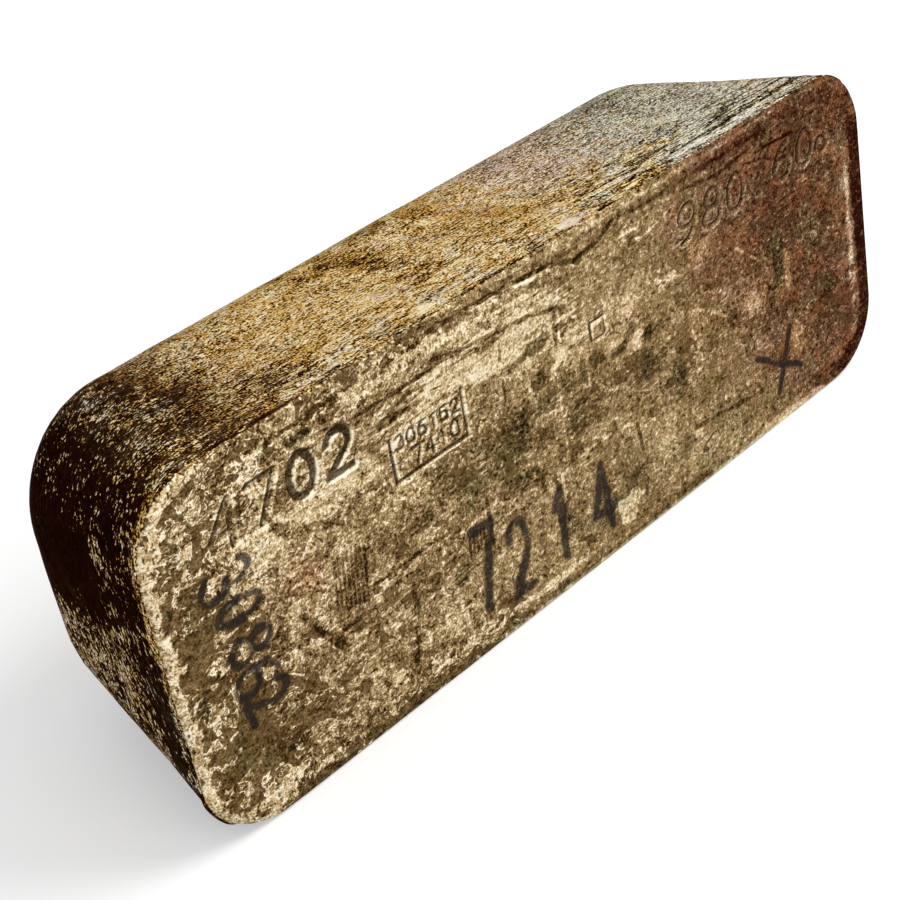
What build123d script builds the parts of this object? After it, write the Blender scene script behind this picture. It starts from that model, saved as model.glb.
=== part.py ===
from build123d import *
from math import atan, cos, radians, sin, tan
import os

# A bar of silver, cast in one piece in an open mould and tipped out when cold. It stands on a
# long side, as such bars are stacked: X runs along the bar, the poured face looks to -Y, Z is up.
# Lengths are in millimetres and angles in degrees.

# The mould's cavity, measured at its open mouth
length = 321.0
width = 114.0
depth = 94.4
mouth_corner_radius = 24.5

# The cavity narrows from its mouth to its floor, so that the cold bar drops out,
# and its four upright corners open out into a broad rounding along the floor
end_draft = 9.5
side_draft = 1.5
floor_corner_radius = 46.0
floor_edge_radius = 35.5

# The free surface: the lip where it met the mould's wall, the crest of its rim, and the dish
# that the metal drew down as it set
lip_radius = 4.0
rim_crest = 2.0
dish_depth = 2.0
dish_slope_run = 16.0
dish_foot_corner_radius = 12.0

# Share of the dish's slope that is taken up by each of the roundings at its brink and its foot
dish_blend_share = 0.4

# Shares of the room beside them that the roundings may fill
corner_room_share = 0.96
floor_edge_room_share = 0.97

# How far a cut reaches past the metal that it trims
overrun = 2.0

lean = radians(side_draft)
end_slope = tan(radians(end_draft))
side_slope = tan(lean)

# The upright corners, as wide at the floor as the walls leave room for, and the floor's rounding,
# which has to fit into those corners
floor_corner = min(floor_corner_radius, corner_room_share * (width / 2 - depth * side_slope))
corner_opening = (floor_corner - mouth_corner_radius) / depth
floor_edge = min(floor_edge_radius, floor_edge_room_share * floor_corner / (1 + corner_opening))

# The dish's slope, and how far its roundings reach onto the rim and onto its flat middle
slope_angle = atan(dish_depth / dish_slope_run)
dish_blend_reach = dish_blend_share * dish_slope_run / cos(slope_angle)
dish_blend_radius = dish_blend_reach / tan(slope_angle / 2)
dish_inset = lip_radius + rim_crest + dish_blend_reach


def rounding_offset(radius, at_depth):
    """From the bar's middle to the centre of a rounding that lies at this depth against a long side."""
    return width / 2 - at_depth * side_slope - radius / cos(lean)


# The poured face leans back by the side draft, so that the lower long side lies level on the ground.
# The bar's foremost point is on the lower lip, and its rearmost on the upper rounding of its floor.
lip_offset = rounding_offset(lip_radius, lip_radius)
front = lip_radius * cos(lean) - lip_offset * sin(lean) - lip_radius
rear_depth = depth - floor_edge
rear_offset = rounding_offset(floor_edge, rear_depth)
rear = rear_depth * cos(lean) + rear_offset * sin(lean) + floor_edge
pour_plane = Plane(
    origin=(0, -(front + rear) / 2, width / 2 * cos(lean)),
    x_dir=(1, 0, 0),
    z_dir=(0, -cos(lean), sin(lean)),
)


def corner_trim(at_depth):
    """The four rounded corners of the cavity at this depth, in an outline that clears the walls."""
    half_length = length / 2 - at_depth * end_slope
    half_width = width / 2 - at_depth * side_slope
    radius = mouth_corner_radius + at_depth * corner_opening
    notch = radius + overrun
    clear_length = 2 * (half_length + overrun)
    clear_width = 2 * (half_width + overrun)
    with BuildSketch(pour_plane.offset(-at_depth)) as outline:
        Rectangle(clear_length, clear_width)
        with GridLocations(clear_length - notch, clear_width - notch, 2, 2):
            Rectangle(notch, notch, mode=Mode.SUBTRACT)
        with GridLocations(2 * (half_length - radius), 2 * (half_width - radius), 2, 2):
            Circle(radius)
    return outline.sketch


with BuildPart() as ingot:
    # The metal between the cavity's four drafted walls
    with BuildSketch(pour_plane):
        Rectangle(length, width)
    extrude(amount=-depth)
    draft(ingot.faces().filter_by(Axis.X), pour_plane, -end_draft)
    draft(ingot.faces().sort_by(Axis.Z)[0], pour_plane, -side_draft)
    draft(ingot.faces().sort_by(Axis.Z)[-1], pour_plane, -side_draft)

    # The upright corners, which open out from the mouth to the floor
    loft([corner_trim(-overrun), corner_trim(depth + overrun)], ruled=True, mode=Mode.INTERSECT)

    # The rounding along the floor, and the lip along the mouth
    fillet(ingot.faces().sort_by(Axis.Y)[-1].edges(), floor_edge)
    fillet(ingot.faces().sort_by(Axis.Y)[0].edges(), lip_radius)

    # The dish in the poured face: a sloping side round a flat middle
    with BuildSketch(pour_plane):
        RectangleRounded(
            length - 2 * dish_inset,
            width - 2 * dish_inset,
            dish_foot_corner_radius + dish_slope_run,
        )
    with BuildSketch(pour_plane.offset(-dish_depth)):
        RectangleRounded(
            length - 2 * (dish_inset + dish_slope_run),
            width - 2 * (dish_inset + dish_slope_run),
            dish_foot_corner_radius,
        )
    loft(ruled=True, mode=Mode.SUBTRACT)
    rim, dish_middle = ingot.faces().filter_by(pour_plane).sort_by(Axis.Y)[:2]
    fillet(rim.inner_wires().edges() + dish_middle.edges(), dish_blend_radius)

ingot.part.label = "ingot"
os.makedirs("parts", exist_ok=True)
export_step(ingot.part, "parts/ingot.step")
print(f"ingot: {ingot.part.volume:.0f} cubic millimetres")
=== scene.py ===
# %% [markdown]
# # A cast bar of toned silver
# A bar like this is poured into an open iron mould, left to set, tipped out and stamped. Its sides copy
# the rough wall of the mould, its poured face is the metal's own free surface, and years on a shelf tone
# the silver to cream, tan, gold, mauve and nearly black. This lesson dresses the CAD solid of the bar.
# It covers the solid with one closed skin that numpy works out, presses the stamps into that skin, and
# gives it a toned finish made of shader nodes only.

# %% Load the CAD model
from math import cos, radians, sin, tan

import bpy
import numpy as np
from mathutils import Matrix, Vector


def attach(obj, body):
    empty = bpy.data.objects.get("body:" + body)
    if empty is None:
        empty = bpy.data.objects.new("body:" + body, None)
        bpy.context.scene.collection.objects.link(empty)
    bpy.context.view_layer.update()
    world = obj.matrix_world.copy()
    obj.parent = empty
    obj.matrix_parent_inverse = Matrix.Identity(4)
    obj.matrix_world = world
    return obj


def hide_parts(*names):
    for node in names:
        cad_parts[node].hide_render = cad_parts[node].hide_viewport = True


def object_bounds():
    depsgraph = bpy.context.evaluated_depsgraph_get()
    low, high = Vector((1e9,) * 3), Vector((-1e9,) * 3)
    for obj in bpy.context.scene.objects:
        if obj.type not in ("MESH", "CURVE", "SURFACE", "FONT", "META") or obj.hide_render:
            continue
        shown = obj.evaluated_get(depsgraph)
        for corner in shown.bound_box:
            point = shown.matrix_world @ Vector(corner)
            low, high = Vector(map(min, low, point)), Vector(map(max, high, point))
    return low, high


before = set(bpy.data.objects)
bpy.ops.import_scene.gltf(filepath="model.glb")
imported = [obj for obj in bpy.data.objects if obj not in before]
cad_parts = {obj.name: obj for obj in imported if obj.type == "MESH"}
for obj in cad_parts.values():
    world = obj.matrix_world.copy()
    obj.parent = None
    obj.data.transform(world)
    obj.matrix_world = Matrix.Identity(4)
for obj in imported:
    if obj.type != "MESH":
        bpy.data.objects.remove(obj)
cad_box = [list(corner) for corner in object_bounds()]
MM = 0.001
box_low, box_high = (np.array(corner) / MM for corner in cad_box)
print("CAD box in millimetres:", box_low.round(2), box_high.round(2))

# %% [markdown]
# ## The bar's own axes
# The bar stands on a long side that the mould's draft has tilted, so its poured face leans back a little.
# Everything below is easier to think of on the bar itself: x runs along it, y climbs the poured face from
# its middle, and depth goes inwards from that face. One function turns those three into the CAD's frame.

# %% From the bar's axes to the frame
LEAN = radians(1.5)
FACE_MIDDLE = np.array([0.0, -46.76, 56.98])
ALONG = np.array([1.0, 0.0, 0.0])
CLIMB = np.array([0.0, sin(LEAN), cos(LEAN)])
INWARD = np.array([0.0, cos(LEAN), -sin(LEAN)])


def direction(x, y, depth):
    """Vector with these shares of the bar's three axes, in the frame."""
    return np.multiply.outer(x, ALONG) + np.multiply.outer(y, CLIMB) + np.multiply.outer(depth, INWARD)


print("poured face leans back by", round(np.degrees(LEAN), 2), "degrees")

# %% [markdown]
# ## The camera
# The photograph looks at the poured face from its left and from above, with the bar tipped in the
# picture. The camera is placed by the direction it looks from, its distance, its roll, and the pixel on
# which the middle of the poured face has to fall. The lens has no shift and no depth of field.

# %% Camera
def into_scene(name, data, axes=None):
    """An object for this data, linked into the scene. The columns of axes are its axes and its place."""
    made = bpy.data.objects.new(name, data)
    bpy.context.scene.collection.objects.link(made)
    if axes is not None:
        made.matrix_world = Matrix([*axes.tolist(), [0, 0, 0, 1]])
    return made


PICTURE = 900
FOCAL_PIXELS = 1889.3
SENSOR = 36.0
AZIMUTH, ELEVATION, ROLL = radians(-40.773), radians(29.526), radians(-11.302)
DISTANCE = 576.3
FACE_MIDDLE_PIXEL = (573.9, 413.7)

towards_camera = direction(
    sin(AZIMUTH) * cos(ELEVATION), sin(ELEVATION), -cos(AZIMUTH) * cos(ELEVATION)
)
level_right = np.cross(CLIMB, towards_camera)
level_right /= np.linalg.norm(level_right)
level_up = np.cross(towards_camera, level_right)
camera_right = cos(ROLL) * level_right + sin(ROLL) * level_up
camera_up = cos(ROLL) * level_up - sin(ROLL) * level_right
aside = (FACE_MIDDLE_PIXEL[0] - PICTURE / 2) / FOCAL_PIXELS * DISTANCE
below = (FACE_MIDDLE_PIXEL[1] - PICTURE / 2) / FOCAL_PIXELS * DISTANCE
camera_place = FACE_MIDDLE + towards_camera * DISTANCE - camera_right * aside + camera_up * below

camera_data = bpy.data.cameras.new("camera")
camera_data.sensor_width = SENSOR
camera_data.lens = FOCAL_PIXELS / PICTURE * SENSOR
camera_axes = np.column_stack([camera_right, camera_up, towards_camera, camera_place * MM])
bpy.context.scene.camera = into_scene("camera", camera_data, camera_axes)
bpy.context.scene.view_settings.view_transform = "Standard"
print("lens", round(camera_data.lens, 1), "mm, camera at", (camera_place * MM).round(3))

# %% [markdown]
# ## Shader maths
# A finish is a formula: noise, masks and colours added and multiplied. Written node by node it is hard to
# read, so one small class wraps a socket, and Python's own operators add the Math nodes.

# %% A value in a material
class Shade:
    """A socket of the material being made. Operators add Math nodes, and node() adds any other node."""

    tree = None

    def __init__(self, socket):
        self.socket = socket

    @classmethod
    def node(cls, kind, settings=None, sockets=None, output=0):
        """Adds one node: its settings first, then a value or a link for each named or numbered socket."""
        made = cls.tree.nodes.new(kind)
        for name, value in (settings or {}).items():
            if name == "stops":
                cls.set_stops(made.color_ramp.elements, value)
            else:
                setattr(made, name, value)
        for name, value in (sockets or {}).items():
            if isinstance(value, Shade):
                cls.tree.links.new(value.socket, made.inputs[name])
            else:
                made.inputs[name].default_value = value
        return cls(made.outputs[output])

    @staticmethod
    def set_stops(elements, stops):
        """Gives a ramp these stops, each a place from 0 to 1 and a colour."""
        while len(elements) < len(stops):
            elements.new(1.0)
        for element, (place, colour) in zip(elements, stops):
            element.position, element.color = place, colour

    def math(self, operation, first, second):
        return Shade.node("ShaderNodeMath", {"operation": operation}, {0: first, 1: second})

    def __add__(self, other):
        return self.math("ADD", self, other)

    def __sub__(self, other):
        return self.math("SUBTRACT", self, other)

    def __rsub__(self, other):
        return self.math("SUBTRACT", other, self)

    def __mul__(self, other):
        return self.math("MULTIPLY", self, other)

    __radd__ = __add__
    __rmul__ = __mul__

    def rise(self, low, high):
        """0 below low, 1 above high, and an eased step between them."""
        return Shade.node(
            "ShaderNodeMapRange",
            {"interpolation_type": "SMOOTHSTEP"},
            {"Value": self, "From Min": low, "From Max": high},
        )

    def fall(self, low, high):
        """1 below low, 0 above high."""
        return 1 - self.rise(low, high)

    def towards(self, other, share):
        """This value, moved towards another one by a share of the way."""
        return self + (other - self) * share


def mix(amount, under, over):
    """Colour under, covered by colour over as far as amount goes."""
    return Shade.node("ShaderNodeMix", {"data_type": "RGBA"}, {0: amount, 6: under, 7: over}, output=2)


def tone(red, green, blue):
    """A colour read off a screen, 0 to 255, as the linear colour that a shader takes."""
    screen = np.array([red, green, blue]) / 255
    linear = np.where(screen > 0.04045, ((screen + 0.055) / 1.055) ** 2.4, screen / 12.92)
    return (*linear.tolist(), 1.0)


def new_material(name):
    """A material with an empty node tree, which becomes the tree that Shade adds to."""
    material = bpy.data.materials.new(name)
    material.use_nodes = True
    material.node_tree.nodes.clear()
    Shade.tree = material.node_tree
    return material


def to_output(shader, kind="ShaderNodeOutputMaterial"):
    """Links a finished shader to the output of the tree that is being made."""
    Shade.tree.links.new(shader.socket, Shade.tree.nodes.new(kind).inputs["Surface"])


print("shader helpers are ready")

# %% [markdown]
# ## Floor and light
# The bar lies on a plain white table under soft studio light. One broad lamp stands high on the right, so
# the left end falls into shade; a weaker lamp in front and the room itself fill in the rest. Rays that come
# from the camera or from a reflection see white; the floor only gains a little glow for them, so it keeps
# the bar's shadow.

# %% White room
seen_kinds = ("Is Camera Ray", "Is Glossy Ray", "Is Transmission Ray")


def seen_directly():
    """1 for rays from the camera, from a mirror or through glass, and 0 for the light of the room."""
    kinds = [Shade.node("ShaderNodeLightPath").socket.node.outputs[kind] for kind in seen_kinds]
    first, second, third = (Shade(socket) for socket in kinds)
    return Shade.node("ShaderNodeClamp", sockets={"Value": first + second + third})


ROOM_LIGHT = 0.55
world = bpy.data.worlds.new("white_room")
world.use_nodes = True
world.node_tree.nodes.clear()
Shade.tree = world.node_tree
strength = ROOM_LIGHT + seen_directly() * (1 - ROOM_LIGHT)
room = Shade.node("ShaderNodeBackground", sockets={"Color": (1, 1, 1, 1), "Strength": strength})
to_output(room, "ShaderNodeOutputWorld")
bpy.context.scene.world = world
print("room light", ROOM_LIGHT)

# %% Floor
FLOOR_REACH = 4.0
FLOOR_GLOW = 0.34
FLOOR_WHITE = (0.82, 0.82, 0.82, 1)

corner_signs = ((-1, -1), (1, -1), (1, 1), (-1, 1))
floor_corners = [(x * FLOOR_REACH, y * FLOOR_REACH, 0.0) for x, y in corner_signs]
floor_mesh = bpy.data.meshes.new("floor")
floor_mesh.from_pydata(floor_corners, [], [(0, 1, 2, 3)])
floor = into_scene("floor", floor_mesh)
floor_mesh.materials.append(new_material("white_table"))
matt = Shade.node("ShaderNodeBsdfDiffuse", sockets={"Color": FLOOR_WHITE})
glow = Shade.node("ShaderNodeEmission", sockets={"Strength": seen_directly() * FLOOR_GLOW})
to_output(Shade.node("ShaderNodeAddShader", sockets={0: matt, 1: glow}))
print("floor is", 2 * FLOOR_REACH, "m wide")

# %% Lamps
LAMPS = {
    "key": {"place": (0.9, -0.7, 1.3), "size": 1.1, "power": 16.0},
    "fill": {"place": (-0.2, -1.6, 0.7), "size": 1.4, "power": 6.0},
}
aim = np.array([0.0, 0.0, 0.05])  # about the middle of the bar
for name, lamp in LAMPS.items():
    lamp_data = bpy.data.lights.new(name, "AREA")
    lamp_data.shape = "DISK"
    lamp_data.size = lamp["size"]
    lamp_data.energy = lamp["power"]
    back = np.array(lamp["place"]) - aim
    back /= np.linalg.norm(back)
    side = np.cross([0.0, 0.0, 1.0], back)
    side /= np.linalg.norm(side)
    into_scene(name, lamp_data, np.column_stack([side, np.cross(back, side), back, lamp["place"]]))
print("lamps:", ", ".join(LAMPS))

# %% [markdown]
# ## The skin's base shape
# The mould's cavity is a rounded rectangle that shrinks with depth while its corners open out. A skin over
# it could come from subdividing the CAD mesh, but then the stamps would have no grid to be pressed into.
# So the poured face is a grid of lines, dense where there is something to stamp, its border is carried
# down the walls as rings with half and then a quarter of the points, and the last ring is closed by a grid.

# %% Sections of the cavity
LENGTH, WIDTH, DEPTH = 321.0, 114.0, 94.4
END_SLOPE, SIDE_SLOPE = tan(radians(9.5)), tan(LEAN)
MOUTH_CORNER, FLOOR_CORNER = 24.5, 46.0
FLOOR_EDGE = 35.0
CORNER_OPENING = (FLOOR_CORNER - MOUTH_CORNER) / DEPTH
FACE_INSET = 1.0


def section(depth, inset=0.0):
    """Half length, half width and corner radius at a depth, all shrunk by the inset."""
    half_length = LENGTH / 2 - depth * END_SLOPE - inset
    half_width = WIDTH / 2 - depth * SIDE_SLOPE - inset
    return half_length, half_width, MOUTH_CORNER + depth * CORNER_OPENING - inset


def corner_share(place, half, radius):
    """Place on a line as a share: up to 1 along the straight part, from 1 to 2 within the corner."""
    straight = half - radius
    beyond = np.maximum(np.abs(place) - straight, 0)
    return np.sign(place) * (np.minimum(np.abs(place), straight) / straight + beyond / radius)


def outline_normal(across, up):
    """Outward direction of the rounded rectangle: the corner's own share (p, q), made one long."""
    p = np.sign(across) * np.maximum(np.abs(across) - 1, 0)
    q = np.sign(up) * np.maximum(np.abs(up) - 1, 0)
    size = np.maximum(np.hypot(p, q), 1e-9)
    return p / size, q / size


def outline(across, up, half_length, half_width, radius):
    """Point of a rounded rectangle. In its corner square, (p, q) is pulled in to the circle max(p, q)."""
    p, q = np.maximum(np.abs(across) - 1, 0), np.maximum(np.abs(up) - 1, 0)
    pull = np.maximum(p, q) / np.maximum(np.hypot(p, q), 1e-9) * radius
    x = np.minimum(np.abs(across), 1) * (half_length - radius) + p * pull
    y = np.minimum(np.abs(up), 1) * (half_width - radius) + q * pull
    return np.sign(across) * x, np.sign(up) * y


def line_places(*runs):
    """Places of the grid's lines, from runs of (start, end, number of steps)."""
    parts = [np.linspace(start, end, steps, endpoint=False) for start, end, steps in runs]
    return np.concatenate([*parts, [runs[-1][1]]])


face_section = section(0, FACE_INSET)
x_lines = line_places(
    (-face_section[0], -140, 16), (-140, -84, 104), (-84, -76, 8), (-76, -42, 62), (-42, 11, 50),
    (11, 21, 18), (21, 55, 32), (55, 138, 138), (138, face_section[0], 24),
)
y_lines = line_places(
    (-face_section[1], -20, 32), (-20, 13, 32), (13, 46, 60), (46, face_section[1], 12)
)
x_shares = corner_share(x_lines, face_section[0], face_section[2])
y_shares = corner_share(y_lines, face_section[1], face_section[2])
print("poured face:", len(x_lines) - 1, "by", len(y_lines) - 1, "cells")

# %% Grids and rings
def border(columns, rows):
    """Numbers of a grid's border points, once round: lower edge, right, upper, left."""
    number = np.arange(columns * rows).reshape(columns, rows)
    return np.concatenate([number[:-1, 0], number[-1, :-1], number[:0:-1, -1], number[0, :0:-1]])


def grid_quads(columns, rows):
    """Four-cornered faces of a grid, turned to face the viewer."""
    number = np.arange(columns * rows).reshape(columns, rows)
    corners = number[:-1, :-1], number[1:, :-1], number[1:, 1:], number[:-1, 1:]
    return np.stack([corner.ravel() for corner in corners], 1)


def ring_quads(upper, lower):
    """Four-cornered faces between two rings of equal length."""
    return np.stack([upper, lower, np.roll(lower, -1), np.roll(upper, -1)], 1)


def thinning_triangles(upper, lower):
    """Three triangles for every two steps of the upper ring, down to a ring of half as many points."""
    here, halfway, ahead = upper[0::2], upper[1::2], np.roll(upper, -2)[0::2]
    below_ahead = np.roll(lower, -1)
    left = np.stack([here, lower, halfway], 1)
    middle = np.stack([halfway, lower, below_ahead], 1)
    right = np.stack([halfway, below_ahead, ahead], 1)
    return np.concatenate([left, middle, right])


def ease(low, high, value):
    """0 at low, 1 at high, with the smooth step 3t^2 - 2t^3 between. low may be above high."""
    t = np.clip((value - low) / (high - low), 0, 1)
    return t * t * (3 - 2 * t)


def lip_radius(x):
    """Rounding between the poured face and the wall: crisp along the bar, a little broader at its ends."""
    return FACE_INSET + 0.5 + 1.2 * ease(-125, -158, x) + 0.2 * ease(125, 158, x)


print("the lip's radius runs from", lip_radius(0), "to", lip_radius(-158), "mm")

# %% Points of the skin
points, normals, quads, triangles = [], [], [], []
count = 0


def add_points(x, y, depth, nx, ny, nd):
    """Keeps these points and their outward directions, and gives their numbers."""
    global count
    x, y, depth, nx, ny, nd = np.broadcast_arrays(x, y, depth, nx, ny, nd)
    points.append(np.stack([x, y, depth], -1).reshape(-1, 3))
    normals.append(np.stack([nx, ny, nd], -1).reshape(-1, 3))
    numbers = count + np.arange(x.size)
    count += x.size
    return numbers


def join(new_ring):
    """Joins the last ring to a new one of as many points, which is then the last one."""
    global ring
    quads.append(ring_quads(ring, new_ring))
    ring = new_ring


across, up = np.meshgrid(x_shares, y_shares, indexing="ij")
face_x, face_y = outline(across, up, *face_section)
add_points(face_x, face_y, 0.0, 0.0, 0.0, -1.0)
quads.append(grid_quads(*across.shape))
ring = border(*across.shape)
ring_across, ring_up = across.ravel()[ring], up.ravel()[ring]
lip = lip_radius(face_x.ravel()[ring])

LIP_ROWS, UPPER_ROWS, LOWER_ROWS, FLOOR_ROWS = 6, 13, 18, 18
UPPER_WALL = 16.0

first_angle = np.arcsin(1 - FACE_INSET / lip)
for row in range(1, LIP_ROWS + 1):
    angle = first_angle + (np.pi / 2 - first_angle) * row / LIP_ROWS
    nx, ny = outline_normal(ring_across, ring_up)
    depth = lip * (1 - np.cos(angle))
    x, y = outline(ring_across, ring_up, *section(depth, lip * (1 - np.sin(angle))))
    join(add_points(x, y, depth, nx * np.sin(angle), ny * np.sin(angle), -np.cos(angle)))
print(count, "points on the poured face and its lip")

# %% Walls, floor and closing grid
def wall_slope(nx, ny):
    """How fast the wall closes in with depth: the two drafts, plus the opening of the corner."""
    flat = np.abs(nx) * END_SLOPE + np.abs(ny) * SIDE_SLOPE
    return flat + CORNER_OPENING * (np.abs(nx) + np.abs(ny) - 1)


def wall_row(depth):
    """One ring of wall points at these depths."""
    nx, ny = outline_normal(ring_across, ring_up)
    x, y = outline(ring_across, ring_up, *section(depth))
    lengthen = 1 / np.hypot(1, wall_slope(nx, ny))
    return add_points(x, y, depth, nx * lengthen, ny * lengthen, wall_slope(nx, ny) * lengthen)


def thin(row_depth):
    """A wall ring with every other point of the last one, joined to it by triangles."""
    global ring, ring_across, ring_up, lip
    ring_across, ring_up, lip = ring_across[::2], ring_up[::2], lip[::2]
    new_ring = wall_row(row_depth(lip))
    triangles.append(thinning_triangles(ring, new_ring))
    ring = new_ring


def upper_depth(row):
    """Depth of a row between the lip's foot and the end of the upper wall."""
    return lambda foot: foot + (UPPER_WALL - foot) * row / UPPER_ROWS


thin(upper_depth(1))
for row in range(2, UPPER_ROWS + 1):
    join(wall_row(upper_depth(row)(lip)))

floor_turn = DEPTH - FLOOR_EDGE
lean_in = np.arctan(wall_slope(*outline_normal(ring_across[::2], ring_up[::2])))
wall_foot = floor_turn + FLOOR_EDGE * np.sin(lean_in)
thin(lambda foot: UPPER_WALL + (wall_foot - UPPER_WALL) / LOWER_ROWS)
for row in range(2, LOWER_ROWS + 1):
    join(wall_row(UPPER_WALL + (wall_foot - UPPER_WALL) * row / LOWER_ROWS))

nx, ny = outline_normal(ring_across, ring_up)
for row in range(1, FLOOR_ROWS):
    angle = lean_in + (np.pi / 2 - lean_in) * row / FLOOR_ROWS
    x, y = outline(ring_across, ring_up, *section(floor_turn))
    inset = FLOOR_EDGE * (1 / np.cos(lean_in) - np.cos(angle))
    depth = floor_turn + FLOOR_EDGE * np.sin(angle)
    x, y = x - nx * inset, y - ny * inset
    join(add_points(x, y, depth, nx * np.cos(angle), ny * np.cos(angle), np.sin(angle)))

back_across, back_up = np.meshgrid(x_shares[::4], y_shares[::4], indexing="ij")
corner_lean = wall_slope(np.sqrt(0.5), np.sqrt(0.5))
half_length, half_width, radius = section(floor_turn)
back_section = (
    half_length - FLOOR_EDGE * np.hypot(1, END_SLOPE),
    half_width - FLOOR_EDGE * np.hypot(1, SIDE_SLOPE),
    radius - FLOOR_EDGE * np.hypot(1, corner_lean),
)
back_numbers = add_points(*outline(back_across, back_up, *back_section), DEPTH, 0.0, 0.0, 1.0)
join(back_numbers[border(*back_across.shape)])
quads.append(back_numbers[0] + grid_quads(*back_across.shape)[:, ::-1])

base = np.concatenate(points)
outward = np.concatenate(normals)
quads, triangles = np.concatenate(quads), np.concatenate(triangles)
print(len(base), "points,", 2 * len(quads) + len(triangles), "triangles")

# %% [markdown]
# ## Relief
# The free surface shrank into a shallow dish, with folds along its upper edge and a crest on the right,
# past which it slumps. The mould's wall left waves and grooves on the sides. All of it is a height over the
# base shape, measured outwards, so the fields below are simply added up. Waves come from a seeded lattice.

# %% Waves
def lattice_waves(x, y, seed):
    """Smooth noise from -1 to 1: random heights on a unit lattice, blended by the quintic step."""
    heights = np.random.default_rng(seed).uniform(-1, 1, (256, 256))
    left, low = np.floor(x).astype(int), np.floor(y).astype(int)
    s, t = x - left, y - low
    s, t = (w * w * w * (w * (6 * w - 15) + 10) for w in (s, t))
    left, right, low, high = left % 256, (left + 1) % 256, low % 256, (low + 1) % 256
    lower = heights[left, low] * (1 - s) + heights[right, low] * s
    upper = heights[left, high] * (1 - s) + heights[right, high] * s
    return lower * (1 - t) + upper * t


def waves(x, y, seed, octaves=4):
    """Lattice waves of halving size and height, added up."""
    return sum(lattice_waves(x * 2**k, y * 2**k, seed + k) / 2**k for k in range(octaves)) / 1.5


x, y, depth = base.T
nx, ny, nd = outward.T
on_face = nd == -1
poured = ease(0.35, 0.8, -nd)
walled = 1 - poured
upper_side = ease(0.3, 0.7, ny)
lower_side = ease(0.3, 0.7, -ny)
left_end = ease(0.3, 0.75, -nx)
right_end = ease(0.3, 0.75, nx)
backed = ease(0.45, 0.9, nd)
round_trip = np.where(np.abs(ny) > np.abs(nx), x, y)

half_length, half_width, radius = section(0)
qx, qy = np.abs(x) - (half_length - radius), np.abs(y) - (half_width - radius)
outside = np.hypot(np.maximum(qx, 0), np.maximum(qy, 0)) + np.minimum(np.maximum(qx, qy), 0)
rim = radius - outside
print("poured points:", int((poured > 0.5).sum()), " wall and back points:", int((poured <= 0.5).sum()))

# %% Heights of the cast surface
DISH_DEPTH = 2.0
CREST = 10.0

lip_here = lip_radius(x)
short = np.clip(lip_here - rim, 0, lip_here)
upper_edge = ease(18, 4, rim) * ease(20, 42, y)
right_rim = ease(112, 146, x)
height = -DISH_DEPTH * ease(8, 34, rim) * poured
height -= (lip_here - np.sqrt(lip_here**2 - short**2)) * on_face
height -= 0.4 * np.clip(1 - rim / CREST, 0, 1) ** 2 * right_rim * poured
height += 0.30 * waves(x / 34, y / 20, 11) * poured * ease(0, 12, rim)
height += 0.28 * waves(x / 26, y / 2.8, 21, 3) * poured * upper_edge
height += 0.12 * waves(x / 5, y / 4, 31, 2) * poured * ease(2, 8, rim)
height += 0.30 * waves(round_trip / 30, depth / 22, 41) * walled
height += 0.30 * waves(round_trip / 24, depth / 2.4, 51, 3) * walled * ease(18, 6, depth) * upper_side
height -= 0.7 * ease(6, 40, depth) * walled * (1 - lower_side)
height += 0.5 * waves(y / 13, depth / 9, 53, 3) * right_end * walled
burr = ease(0.0, 0.5, waves(y / 11, depth / 7, 55, 3)) * ease(6, 3, depth) * left_end
height += 0.7 * burr * walled
print("cast relief from", height.min().round(2), "to", height.max().round(2), "mm")

# %% [markdown]
# ## Stamps and marks
# Each bar is struck with steel punches: a number, a framed mark, a small square, its weight and a ring.
# The punches here carry plain numbers. A numeral is a few arcs and straight strokes; the distance from a
# point to the nearest stroke says how deep the steel went. A wax pencil left numbers and a cross, which
# are only colour: their numerals are turned and stretched a little at random, as a hand does.

# %% Numerals from arcs and strokes
def arc(middle_x, middle_y, radius_x, radius_y, start, end):
    """Points on part of an ellipse, from one angle to another in degrees."""
    angle = np.radians(np.linspace(start, end, 15))
    return np.stack([middle_x + radius_x * np.cos(angle), middle_y + radius_y * np.sin(angle)], 1)


def strokes(*ends):
    """Straight strokes from point to point."""
    return np.array(ends, float)


NUMERALS = {
    "0": [arc(0.5, 0.5, 0.46, 0.5, 0, 360)],
    "1": [strokes((0.2, 0.78), (0.56, 1), (0.56, 0))],
    "2": [np.vstack([arc(0.5, 0.7, 0.44, 0.3, 165, -35), strokes((0.04, 0), (1, 0))])],
    "3": [arc(0.45, 0.75, 0.42, 0.25, 150, -80), arc(0.45, 0.26, 0.5, 0.26, 80, -150)],
    "4": [strokes((0.72, 0), (0.72, 1), (0, 0.3), (1, 0.3))],
    "5": [np.vstack([strokes((0.9, 1), (0.16, 1), (0.1, 0.55)), arc(0.45, 0.31, 0.5, 0.31, 130, -145)])],
    "6": [arc(0.5, 0.3, 0.46, 0.3, 0, 360), arc(0.84, 0.3, 0.8, 0.7, 180, 95)],
    "7": [strokes((0, 1), (1, 1), (0.36, 0))],
    "8": [arc(0.5, 0.75, 0.38, 0.25, 0, 360), arc(0.5, 0.26, 0.48, 0.26, 0, 360)],
    "9": [arc(0.5, 0.7, 0.46, 0.3, 0, 360), arc(0.16, 0.7, 0.8, 0.7, 0, -85)],
    ".": [strokes((0.45, 0.03), (0.55, 0.03))],
}

# Places on the poured face are read off as if it were flat; seen aslant, its dish moves them by this much
SUNK_SHIFT = (2.2, -1.9)
seen_x, seen_y = x - SUNK_SHIFT[0], y - SUNK_SHIFT[1]


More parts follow.
